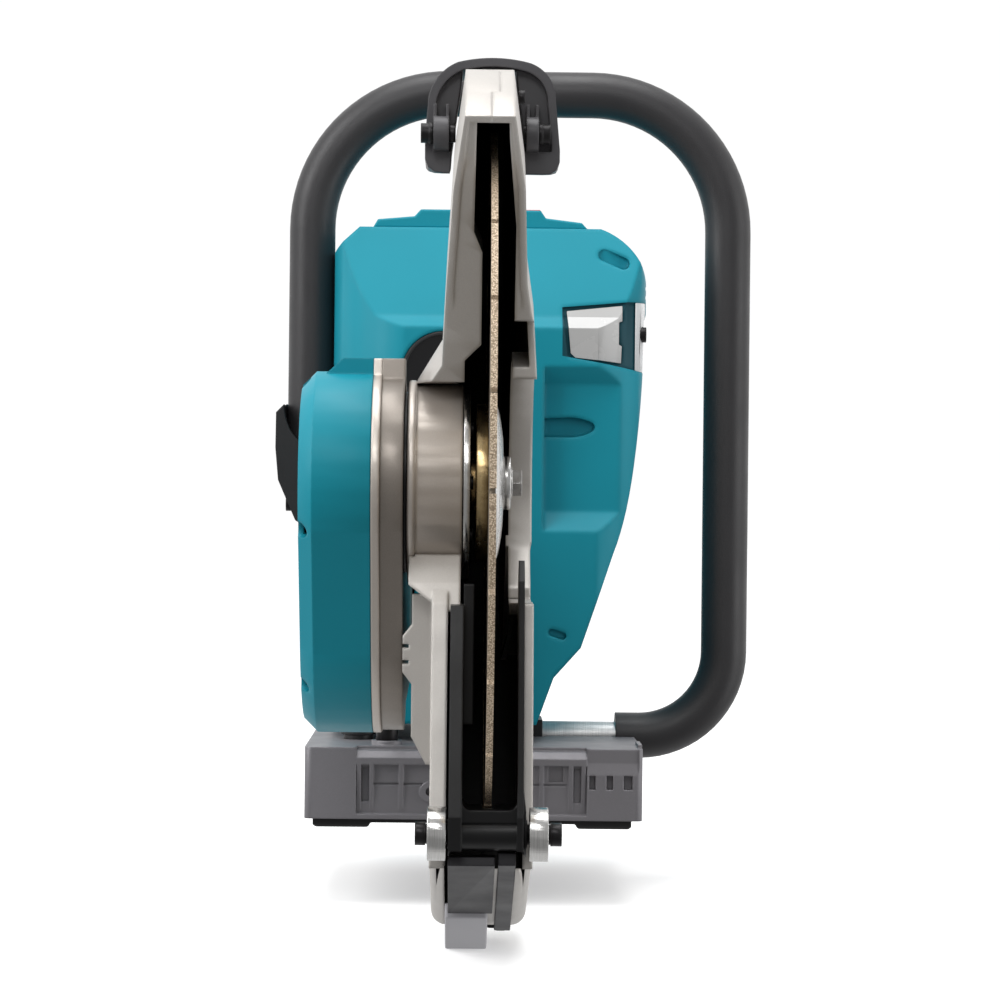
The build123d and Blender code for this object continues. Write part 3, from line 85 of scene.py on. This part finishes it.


class Graph:
    """A node tree, with one short call for each kind of node used here."""

    def __init__(self, tree):
        self.tree = tree

    def node(self, kind, inputs=(), **settings):
        """New node; inputs maps a socket's name or index to a value or another node's output."""
        made = self.tree.nodes.new(kind)
        for name, value in settings.items():
            setattr(made, name, value)
        for socket, value in dict(inputs).items():
            if isinstance(value, bpy.types.NodeSocket):
                self.tree.links.new(value, made.inputs[socket])
            else:
                made.inputs[socket].default_value = value
        return made

    def math(self, operation, *values):
        return self.node("ShaderNodeMath", enumerate(values), operation=operation).outputs["Value"]

    def vector_math(self, operation, *values):
        made = self.node("ShaderNodeVectorMath", enumerate(values), operation=operation)
        return made.outputs["Value" if operation in ("DOT_PRODUCT", "LENGTH") else "Vector"]

    def mix(self, factor, a, b, blend="MIX"):
        made = self.node("ShaderNodeMix", {MIX_FACTOR: factor, MIX_A: a, MIX_B: b},
                         data_type="RGBA", blend_type=blend)
        return made.outputs[MIX_RESULT]

    def ramp(self, value, stops):
        """Colour by value, from stops of (position, colour)."""
        made = self.node("ShaderNodeValToRGB", {"Fac": value})
        elements = made.color_ramp.elements
        while len(elements) < len(stops):
            elements.new(0.5)
        for element, (position, colour) in zip(elements, stops):
            element.position, element.color = position, colour
        return made.outputs["Color"]

    def grey(self, value, first, last, start=NOISE_LOW, end=NOISE_HIGH):
        """Grey level that goes from first to last as the value goes from start to end."""
        return self.ramp(value, [(start, neutral(first)), (end, neutral(last))])


class Surface(Graph):
    """One material: a principled shader with helpers for its colour, roughness and bump.

    A setting such as Specular_IOR_Level=0.2 stays a constant on the shader's own socket."""

    def __init__(self, name, **settings):
        self.material = bpy.data.materials.new(name)
        self.material.use_nodes = True
        super().__init__(self.material.node_tree)
        self.shader = self.tree.nodes["Principled BSDF"]
        self.normal = None
        self.place = self.node("ShaderNodeTexCoord").outputs["Object"]
        for key, value in settings.items():
            self.shader.inputs[key.replace("_", " ")].default_value = value

    def link(self, output, name):
        self.tree.links.new(output, self.shader.inputs[name])

    def noise(self, scale, detail, roughness=0.55, vector=None):
        made = self.node("ShaderNodeTexNoise", {"Vector": vector or self.place, "Scale": scale,
                                                "Detail": detail, "Roughness": roughness})
        return made.outputs["Fac"]

    def stretched(self, scale):
        """Object coordinates scaled differently along each axis."""
        return self.node("ShaderNodeMapping", {"Vector": self.place, "Scale": scale}).outputs["Vector"]

    def tint(self, value, colour, darkest, lightest):
        """The colour, from darkest to lightest times as bright, by a noise's value."""
        low, high = scaled(colour, darkest), scaled(colour, lightest)
        return self.ramp(value, [(NOISE_LOW, low), (NOISE_HIGH, high)])

    def rough(self, value, low, high):
        self.link(self.grey(value, low, high), "Roughness")

    def bump(self, height, strength, distance):
        """One more bump on top of the normals so far."""
        made = self.node("ShaderNodeBump", {"Height": height, "Strength": strength, "Distance": distance})
        if self.normal:
            self.tree.links.new(self.normal, made.inputs["Normal"])
        self.normal = made.outputs["Normal"]
        self.link(self.normal, "Normal")

    def paint_skin(self):
        """Fine grain of a painted casting, on a faint orange peel."""
        self.bump(self.noise(700, 3), 0.18, 0.0001)
        self.bump(self.noise(55, 2), 0.08, 0.0004)

    def soften(self, radius):
        """Rounds every edge in the shading; the bumps that follow lie on top of it."""
        self.normal = self.node("ShaderNodeBevel", {"Radius": radius}).outputs["Normal"]

    def edge_highlight_mask(self, radius=EDGE_HIGHLIGHT_WIDTH):
        """White on edges, from how far a bevelled normal leaves the true one: the mask of a painted
        highlight along them.
        """
        bevel = self.node("ShaderNodeBevel", {"Radius": radius})
        likeness = self.vector_math("DOT_PRODUCT", bevel.outputs["Normal"], self.geometry("Normal"))
        return self.grey(likeness, 1.0, 0.0, 0.80, 0.98)

    def geometry(self, output):
        return self.node("ShaderNodeNewGeometry").outputs[output]

    def from_spindle(self):
        """Place in millimetres from the wheel's centre; right at rest and when turning about it."""
        offset = self.vector_math("SUBTRACT", self.geometry("Position"), tuple(SPINDLE))
        return self.vector_math("MULTIPLY", offset, (1 / MM,) * 3)

    def rings(self, density):
        """Noise that changes only with the distance from the wheel's axis."""
        across = self.vector_math("MULTIPLY", self.from_spindle(), (0, 1, 1))
        spread = self.node("ShaderNodeCombineXYZ", {"X": self.vector_math("LENGTH", across)})
        return self.noise(density, 5, 0.7, spread.outputs["Vector"])

    def beyond(self, place, direction, distance):
        """1 where the place lies further than this along a direction, otherwise 0."""
        along = self.vector_math("DOT_PRODUCT", place, direction)
        return self.math("GREATER_THAN", along, distance)


# ---------------------------------------------------------------- materials
def moulded(name, colour, roughness, grain=900, depth=0.00012, strength=0.25, variation=0.08, **settings):
    """Moulded plastic or rubber: fine grain, slight colour drift and smoother patches."""
    s = Surface(name, **settings)
    s.soften(0.0012)
    s.link(s.tint(s.noise(9, 3), colour, 1 - variation, 1 + variation), "Base Color")
    s.rough(s.noise(40, 5), roughness - 0.05, roughness + 0.07)
    s.bump(s.noise(grain, 3), strength, depth)
    return s.material


def cast(name, colour, roughness, metallic, flake, edge_sheen):
    """Painted or bare casting: metallic, fine flake, faint orange peel and brighter edges, which are a
    painted highlight.
    """
    s = Surface(name, Metallic=metallic)
    s.soften(0.0015)
    tone = s.tint(s.noise(2600, 2), colour, 1 - flake, 1 + flake)
    # Edges made lighter than the casting's colour: a painted highlight along them.
    s.link(s.mix(s.edge_highlight_mask(), tone, scaled(colour, 1 + edge_sheen)), "Base Color")
    s.rough(s.noise(60, 5), roughness - 0.05, roughness + 0.08)
    s.paint_skin()
    return s.material


def turned(name, colour, roughness):
    """Turned metal: fine lines that run round the X axis."""
    s = Surface(name, Metallic=1.0)
    s.soften(0.0006)
    lines = s.noise(1.0, 6, 0.7, s.stretched((2500, 60, 60)))
    s.link(s.tint(lines, colour, 0.82, 1.12), "Base Color")
    s.rough(s.noise(120, 4), roughness - 0.06, roughness + 0.1)
    s.bump(lines, 0.12, 0.00006)
    return s.material


def ground_core():
    """Ground steel wheel: turning lines round its axis, a warm tint and faint stains."""
    s = Surface("wheel_core_steel", Metallic=0.8)
    lines, fine, broad = s.rings(1.6), s.noise(900, 5, 0.7), s.noise(26, 5, 0.6)
    tone = s.ramp(broad, [(0.3, srgb(138, 128, 113)), (0.5, srgb(156, 146, 131)),
                          (0.75, srgb(172, 163, 148))])
    tone = s.mix(s.grey(lines, 0.0, 0.45), tone, srgb(116, 106, 92))
    s.link(s.mix(s.grey(fine, 0.0, 0.3), tone, srgb(92, 82, 70)), "Base Color")
    s.rough(lines, 0.26, 0.48)
    s.bump(lines, 0.25, 0.0001)
    s.bump(fine, 0.2, 0.00008)
    return s.material


def sintered():
    """Diamond segments: coarse grit standing out of a dull metal bond."""
    s = Surface("segment_bond", Metallic=0.3)
    grit = s.node("ShaderNodeTexVoronoi", {"Vector": s.place, "Scale": 1300.0}).outputs["Distance"]
    tone = s.ramp(grit, [(0.0, srgb(250, 236, 212)), (0.25, srgb(222, 202, 176)),
                         (0.7, srgb(150, 132, 110))])
    s.link(tone, "Base Color")
    s.link(s.grey(grit, 0.3, 0.65, 0.1, 0.6), "Roughness")
    s.bump(grit, 0.8, 0.0004)
    return s.material


RIM_R = 205.0                   # inner radius of the guard's rim, in millimetres
FACING = 0.7                    # a face whose normal points further to the wheel than this is inside,
UNDER_RIM = -0.8                # and so is one whose normal points to the wheel's axis by this


def guard_half_material(name, inward):
    """Silver casting outside and black inside, where it faces the wheel; inward is +1 or -1."""
    s = Surface(name)
    s.soften(0.0022)
    place, normal = s.from_spindle(), s.geometry("True Normal")
    facing = s.beyond(normal, (inward, 0, 0), FACING)
    radial = s.vector_math("MULTIPLY", place, (0, 1 / RIM_R, 1 / RIM_R))
    under_rim = s.math("LESS_THAN", s.vector_math("DOT_PRODUCT", radial, normal), UNDER_RIM)
    inside = s.math("MAXIMUM", facing, under_rim)
    tone = s.tint(s.noise(2600, 2), SILVER, 0.92, 1.06)
    # Edges made lighter than the silver: a painted highlight along them.
    tone = s.mix(s.edge_highlight_mask(), tone, scaled(SILVER, 1.25))
    s.link(s.mix(inside, tone, GUARD_BLACK), "Base Color")
    s.link(s.math("SUBTRACT", 0.6, s.math("MULTIPLY", inside, 0.6)), "Metallic")
    patches = s.grey(s.noise(60, 5), 0.40, 0.50)
    s.link(s.math("ADD", patches, s.math("MULTIPLY", inside, 0.1)), "Roughness")
    s.paint_skin()
    return s.material


# The side panel's recess in the housing, in millimetres from the wheel's centre: its left side, then
# a direction and a distance for its right, upper, lower and rear sides.
PANEL_LEFT = 44.2
PANEL_LIMITS = [((1, 0, 0), 88.2), ((-0.089, 0, 1), 103.0), ((-0.17, 0, -1), -84.9),
                ((0, 1, 0), 301.0)]
HIGHLIGHT_STRIP_LEFT = 87.0               # left side of the near-white strip painted as a highlight on the panel's clear edge


def housing_material():
    """Teal plastic, with painted shade inside the recess that the side panel sits in and a painted
    highlight on its edges.
    """
    s = Surface("teal_housing", Specular_IOR_Level=0.2)
    s.soften(0.004)
    place = s.from_spindle()
    recess = s.beyond(place, (1, 0, 0), PANEL_LEFT)
    for direction, distance in PANEL_LIMITS:
        within = s.math("SUBTRACT", 1.0, s.beyond(place, direction, distance))
        recess = s.math("MULTIPLY", recess, within)
    tone = s.tint(s.noise(9, 3), TEAL, 0.95, 1.05)
    # Edges made lighter than the teal: a painted highlight along them.
    tone = s.mix(s.math("MULTIPLY", s.edge_highlight_mask(0.0015), 0.35), tone, scaled(TEAL, 1.5))
    # The recess gets the darker teal: painted shade.
    s.link(s.mix(recess, tone, RECESS_SHADE_TEAL), "Base Color")
    s.rough(s.noise(40, 5), 0.36, 0.46)
    s.bump(s.noise(1100, 3), 0.2, 0.00008)
    return s.material


def panel_material():
    """Light grey face, with a near-white strip at its right end: a painted highlight on the clear edge
    there.
    """
    s = Surface("panel_window", Coat_Weight=0.6, Coat_Roughness=0.05)
    strip = s.beyond(s.from_spindle(), (1, 0, 0), HIGHLIGHT_STRIP_LEFT)
    face = s.ramp(s.noise(14, 3), [(NOISE_LOW, srgb(166, 166, 166)), (NOISE_HIGH, srgb(180, 180, 179))])
    # The strip's near-white colour is a painted highlight on the clear edge.
    s.link(s.mix(strip, face, srgb(226, 228, 229)), "Base Color")
    s.rough(s.noise(50, 4), 0.22, 0.32)
    s.bump(s.noise(900, 2), 0.08, 0.00004)
    return s.material


def lens_material():
    """Dark, smooth lens with a slight unevenness."""
    s = Surface("lamp_glass", Base_Color=srgb(14, 14, 16), Roughness=0.06, IOR=1.45)
    s.bump(s.noise(30, 2), 0.05, 0.0002)
    return s.material


MATERIALS = {
    "teal": moulded("teal_plastic", TEAL, 0.40, grain=1100, depth=0.00008, strength=0.2, variation=0.04,
                    Specular_IOR_Level=0.2),
    "housing": housing_material(),
    "silver_left": guard_half_material("guard_silver_left", 1),
    "silver_right": guard_half_material("guard_silver_right", -1),
    "case": cast("gear_case_metal", srgb(134, 127, 120), 0.36, metallic=0.6, flake=0.08, edge_sheen=0.4),
    "hub": cast("hub_metal", srgb(196, 188, 180), 0.34, metallic=0.6, flake=0.06, edge_sheen=0.2),
    "base": cast("base_grey", srgb(126, 124, 128), 0.45, metallic=0.35, flake=0.08, edge_sheen=0.25),
    "oxide": cast("black_oxide", srgb(40, 39, 40), 0.33, metallic=0.8, flake=0.1, edge_sheen=1.0),
    "core": ground_core(),
    "segments": sintered(),
    "steel": turned("turned_steel", srgb(206, 205, 203), 0.2),
    "brass": turned("flange_brass", srgb(196, 172, 128), 0.26),
    "tube": turned("handle_tube_steel", srgb(226, 226, 226), 0.4),
    "copper": turned("copper_wire", srgb(190, 110, 60), 0.3),
    "bracket": moulded("bracket_black", srgb(12, 12, 13), 0.34, depth=0.0001, strength=0.3,
                       Specular_IOR_Level=0.3),
    "black": moulded("black_plastic", srgb(26, 26, 28), 0.38, depth=0.0001, strength=0.3),
    "lever": moulded("lever_black", srgb(66, 65, 68), 0.42, depth=0.0001, strength=0.35),
    "grey": moulded("grey_plastic", srgb(40, 39, 43), 0.45, depth=0.0001, strength=0.35,
                    Specular_IOR_Level=0.3),
    "pale": moulded("pale_plastic", srgb(176, 175, 180), 0.45, depth=0.0001, strength=0.3),
    "rubber": moulded("grip_rubber", srgb(42, 41, 43), 0.40, grain=1500, depth=0.0002, strength=0.5,
                      variation=0.05),
    "feet": moulded("foot_rubber", srgb(24, 24, 25), 0.7, grain=1200, depth=0.0002, strength=0.5),
    "board": moulded("circuit_board", srgb(20, 80, 50), 0.4),
    "red": moulded("red_plastic", srgb(170, 20, 24), 0.35),
    "panel": panel_material(),
    "lens": lens_material(),
}

# Each material's nodes, with the width in millimetres that their edges are rounded by.
LOOKS = {
    "teal": {"motor_cover": 1.2, "top_trim": 1.2, "battery_cover": 1.2},
    "housing": {"housing_left": 2.5, "housing_right": 2.5},
    "silver_left": {"guard_left_half": 0.8},
    "silver_right": {"guard_right_half": 0.8},
    "hub": {"guard_hub": 1.2, "motor_plate": 0.6},
    "case": {"gear_case": 0.8, "stator_carrier": 0},
    "base": {"base_frame": 0.8},
    "core": {"wheel_core": 0},
    "segments": {"wheel_segments": 0},
    "steel": {"outer_flange": 0.4, "wheel_washer": 0.4, "wheel_bolt": 0.3, "spindle": 0, "driven_gear": 0,
              "motor_shaft": 0, "pinion_gear": 0, "rotor_bell": 0, "stator_core": 0, "ball_bearings": 0,
              "roller_left": 0.3, "roller_right": 0.3, "hinge_pins": 0, "hub_retainer": 0.4},
    "brass": {"inner_flange": 0.4},
    "tube": {"front_handle_tube": 0},
    "bracket": {"roller_bracket": 1.2},
    "black": {"guard_friction_ring": 0.3, "handle_bracket": 2.5, "handle_clamp": 1.2, "lamp_housing": 0.6,
              "battery_left": 0, "battery_right": 0, "battery_cradle": 0, "terminal_block": 0,
              "switch_module": 0, "trigger": 1.5, "cover_latch": 0.8, "rear_handle_left": 1.2,
              "rear_handle_right": 1.2},
    "grey": {"chute_covers": 1.2},
    "lever": {"guard_handle": 2.2},
    "pale": {"chute_end": 1.5},
    "rubber": {"front_handle_grip": 0, "vibration_dampers": 0},
    "feet": {"rubber_feet": 1.0},
    "oxide": {"fasteners": 0.4, "guard_fasteners": 0.4, "rotor_magnets": 0},
    "panel": {"side_panel": 0.8},
    "lens": {"lamp_lens": 0.4},
    "copper": {"stator_windings": 0},
    "board": {"control_board": 0},
    "red": {"lock_off_lever": 1.5, "power_button": 0.8},
}

WELD_GAP = 0.02                 # millimetres
EDGE_STEPS = 3
SHARP_ANGLE = math.radians(28)


def paint(piece, material):
    """Gives a piece one material in every slot that it has."""
    slots = piece.data.materials
    for index in range(len(slots)):
        slots[index] = material
    if not len(slots):
        slots.append(material)


def round_edges(piece, width):
    """Rounds a piece's sharp edges by a width in millimetres."""
    weld = piece.modifiers.new("weld", "WELD")
    weld.merge_threshold = WELD_GAP * MM
    rounding = piece.modifiers.new("rounding", "BEVEL")
    rounding.width = width * MM
    rounding.segments = EDGE_STEPS
    rounding.limit_method = "ANGLE"
    rounding.angle_limit = SHARP_ANGLE
    rounding.use_clamp_overlap = True
    rounding.harden_normals = True


def dress():
    """Gives every CAD node its look."""
    for look, edges in LOOKS.items():
        for node, width in edges.items():
            paint(NODES[node], MATERIALS[look])
            if width:
                round_edges(NODES[node], width)


# ---------------------------------------------------------------- camera, floor and light
LENS_MM, SENSOR_MM = 112.9, 36.0
CAMERA_PLACE = (-12.7, -1600, -8.6)         # millimetres from the wheel's centre, as the lights' places
CAMERA_YAW, CAMERA_ROLL = math.radians(0.64), math.radians(0.6)
CLIP_NEAR, CLIP_FAR = 0.05, 50              # metres

FLOOR_HALF = 14.0                           # half of the floor's side, in metres
FLOOR_WHITE, FLOOR_GLOW = 0.95, 0.3

# The sky's level, as (position, colour): 0 is straight down, or behind the camera, and 1 is opposite.
SKY_BY_HEIGHT = [(0.38, neutral(0.7)), (0.47, neutral(1.0))]
SKY_BY_DEPTH = [(0.20, neutral(0.42)), (0.48, neutral(1.0))]
SKY_STRENGTH = 1.02

# Each light's place, its width and height in metres, and its power in watts.
LIGHTS = {
    "key": ((-1400, -500, 900), (0.9, 1.4), 18),
    "fill": ((1400, -300, 0), (0.8, 1.6), 6),
    "front": ((-250, -1900, 1300), (0.7, 0.7), 10),
    "top": ((0, 0, 1700), (1.2, 1.2), 18),
}
LIGHT_AIM = (0, 0, 20)


def camera():
    """Looks along +Y from in front, turned a little to the right and rolled a little."""
    data = bpy.data.cameras.new("camera")
    data.sensor_width, data.lens = SENSOR_MM, LENS_MM
    data.clip_start, data.clip_end = CLIP_NEAR, CLIP_FAR
    made = bpy.data.objects.new("camera", data)
    bpy.context.scene.collection.objects.link(made)
    turn = (Matrix.Rotation(-CAMERA_YAW, 4, "Z") @ Matrix.Rotation(math.radians(90), 4, "X")
            @ Matrix.Rotation(CAMERA_ROLL, 4, "Z"))
    made.matrix_world = Matrix.Translation(at(*CAMERA_PLACE)) @ turn
    bpy.context.scene.camera = made


def area_light(name, place, size, power):
    """Soft box, aimed a little above the wheel's centre."""
    data = bpy.data.lights.new(name, "AREA")
    data.shape = "RECTANGLE"
    data.size, data.size_y = size
    data.energy = power
    made = bpy.data.objects.new(name, data)
    made.location = at(*place)
    made.rotation_euler = (at(*LIGHT_AIM) - made.location).to_track_quat("-Z", "Y").to_euler()
    bpy.context.scene.collection.objects.link(made)


def floor():
    """White floor under the object, seen by the camera but not in reflections."""
    low = cad_bounds[0].z
    mesh = bpy.data.meshes.new("floor")
    build = bmesh.new()
    build.faces.new([build.verts.new((x * FLOOR_HALF, y * FLOOR_HALF, low))
                     for x, y in ((-1, -1), (1, -1), (1, 1), (-1, 1))])
    build.to_mesh(mesh)
    build.free()
    made = bpy.data.objects.new("floor", mesh)
    bpy.context.scene.collection.objects.link(made)
    white = Surface("floor_white", Base_Color=neutral(FLOOR_WHITE), Roughness=0.95, Specular_IOR_Level=0.0,
                    Emission_Color=neutral(1.0), Emission_Strength=FLOOR_GLOW)
    mesh.materials.append(white.material)
    made.visible_diffuse = made.visible_glossy = False


def surroundings():
    """White all round above the horizon, softer behind the camera and a little darker below."""
    world = bpy.data.worlds.new("world")
    bpy.context.scene.world = world
    world.use_nodes = True
    sky = Graph(world.node_tree)
    direction = sky.node("ShaderNodeTexCoord").outputs["Generated"]
    split = sky.node("ShaderNodeSeparateXYZ", {"Vector": direction}).outputs
    height = sky.math("MULTIPLY_ADD", split["Z"], 0.5, 0.5)
    depth = sky.math("MULTIPLY_ADD", split["Y"], 0.5, 0.5)
    level = sky.mix(1.0, sky.ramp(height, SKY_BY_HEIGHT), sky.ramp(depth, SKY_BY_DEPTH), "MULTIPLY")
    background = sky.tree.nodes["Background"]
    sky.tree.links.new(level, background.inputs["Color"])
    background.inputs["Strength"].default_value = SKY_STRENGTH


dress()
camera()
floor()
surroundings()
for light, (place, size, power) in LIGHTS.items():
    area_light(light, place, size, power)
bpy.context.scene.view_settings.view_transform = "Standard"
